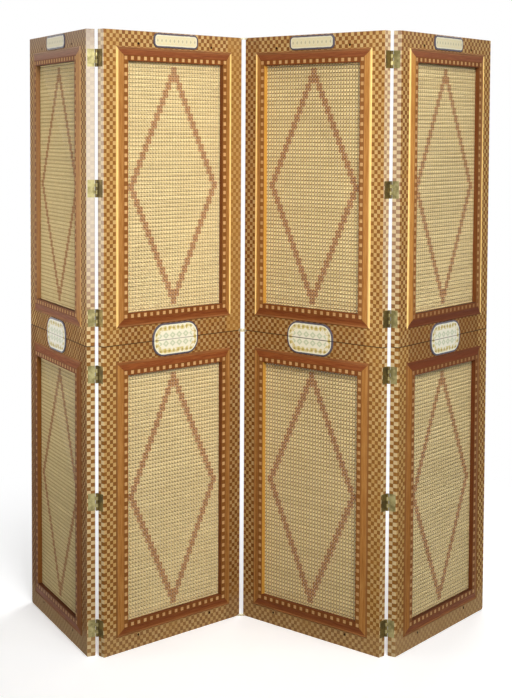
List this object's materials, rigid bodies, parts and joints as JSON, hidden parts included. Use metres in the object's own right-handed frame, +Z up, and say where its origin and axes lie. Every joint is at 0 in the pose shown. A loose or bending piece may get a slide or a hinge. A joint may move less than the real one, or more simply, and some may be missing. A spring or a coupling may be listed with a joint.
{
  "type": "caned folding screen",
  "caption": "Tall folding screen of hinged leaves in two tiers: chequered wood frames, raised mouldings round woven cane panels with a lozenge, and glazed plaques.",
  "frame": {"origin": "centre of the standing screen's bounding box, on the floor", "axes": "+X along the screen from left to right seen from the front, +Y from the front to the back, +Z up"},
  "size_m": [1.4414, 0.504, 1.8],
  "materials": {
    "chequered_wood": "polished, small light and dark squares",
    "moulding_wood": "polished red-brown",
    "plain_wood": "plain, lightly oiled",
    "woven_cane": "woven split cane, satin",
    "glazed_plaque": "glossy glaze",
    "aged_brass": "aged, satin"
  },
  "bodies": {
    "lower_leaf_1": {"lower_frame_1": "chequered_wood", "lower_moulding_1": "moulding_wood", "lower_cane_1": "woven_cane", "lower_bead_1": "plain_wood", "lower_plaque_1": "glazed_plaque", "dowels_1": "plain_wood", "lower_hinges_1": "aged_brass"},
    "upper_leaf_1": {"upper_frame_1": "chequered_wood", "upper_moulding_1": "moulding_wood", "upper_cane_1": "woven_cane", "upper_bead_1": "plain_wood", "upper_plaque_1": "glazed_plaque", "top_plaque_1": "glazed_plaque", "upper_hinges_1": "aged_brass"},
    "lower_leaf_2": {"lower_frame_2": "chequered_wood", "lower_moulding_2": "moulding_wood", "lower_cane_2": "woven_cane", "lower_bead_2": "plain_wood", "lower_plaque_2": "glazed_plaque", "dowels_2": "plain_wood", "lower_hinges_2": "aged_brass", "lower_pivots_2": "aged_brass"},
    "upper_leaf_2": {"upper_frame_2": "chequered_wood", "upper_moulding_2": "moulding_wood", "upper_cane_2": "woven_cane", "upper_bead_2": "plain_wood", "upper_plaque_2": "glazed_plaque", "top_plaque_2": "glazed_plaque", "upper_hinges_2": "aged_brass", "upper_pivots_2": "aged_brass"},
    "lower_leaf_3": {"lower_frame_3": "chequered_wood", "lower_moulding_3": "moulding_wood", "lower_cane_3": "woven_cane", "lower_bead_3": "plain_wood", "lower_plaque_3": "glazed_plaque", "dowels_3": "plain_wood", "lower_hinges_3": "aged_brass", "lower_pivots_3": "aged_brass"},
    "upper_leaf_3": {"upper_frame_3": "chequered_wood", "upper_moulding_3": "moulding_wood", "upper_cane_3": "woven_cane", "upper_bead_3": "plain_wood", "upper_plaque_3": "glazed_plaque", "top_plaque_3": "glazed_plaque", "upper_hinges_3": "aged_brass", "upper_pivots_3": "aged_brass"},
    "lower_leaf_4": {"lower_frame_4": "chequered_wood", "lower_moulding_4": "moulding_wood", "lower_cane_4": "woven_cane", "lower_bead_4": "plain_wood", "lower_plaque_4": "glazed_plaque", "dowels_4": "plain_wood", "lower_hinges_4": "aged_brass"},
    "upper_leaf_4": {"upper_frame_4": "chequered_wood", "upper_moulding_4": "moulding_wood", "upper_cane_4": "woven_cane", "upper_bead_4": "plain_wood", "upper_plaque_4": "glazed_plaque", "top_plaque_4": "glazed_plaque", "upper_hinges_4": "aged_brass"}
  },
  "joints": [
    {"name": "left_fold", "type": "hinge", "parent": "lower_leaf_2", "child": "lower_leaf_1", "pos_m": [-0.4565, -0.232, 0.45], "axis": [0, 0, 1], "range_deg": [-71, 109]},
    {"name": "middle_fold", "type": "hinge", "parent": "lower_leaf_2", "child": "lower_leaf_3", "pos_m": [-0.04659, 0.12558, 0.45], "axis": [0, 0, 1], "range_deg": [-92.5, 87.5]},
    {"name": "right_fold", "type": "hinge", "parent": "lower_leaf_3", "child": "lower_leaf_4", "pos_m": [0.37853, -0.21378, 0.45], "axis": [0, 0, 1], "range_deg": [-96.5, 83.5]},
    {"name": "tier_lift", "type": "slide", "parent": "lower_leaf_2", "child": "upper_leaf_2", "axis": [0, 0, 1], "range_m": [0, 0.15]},
    {"name": "upper_left_fold", "type": "hinge", "parent": "upper_leaf_2", "child": "upper_leaf_1", "pos_m": [-0.4565, -0.232, 1.35], "axis": [0, 0, 1], "range_deg": [-71, 109]},
    {"name": "upper_middle_fold", "type": "hinge", "parent": "upper_leaf_2", "child": "upper_leaf_3", "pos_m": [-0.04659, 0.12558, 1.35], "axis": [0, 0, 1], "range_deg": [-92.5, 87.5]},
    {"name": "upper_right_fold", "type": "hinge", "parent": "upper_leaf_3", "child": "upper_leaf_4", "pos_m": [0.37853, -0.21378, 1.35], "axis": [0, 0, 1], "range_deg": [-96.5, 83.5]}
  ],
  "couplings": [
    {"joint": "upper_left_fold", "follows": "left_fold", "ratio": 1},
    {"joint": "upper_middle_fold", "follows": "middle_fold", "ratio": 1},
    {"joint": "upper_right_fold", "follows": "right_fold", "ratio": 1}
  ]
}
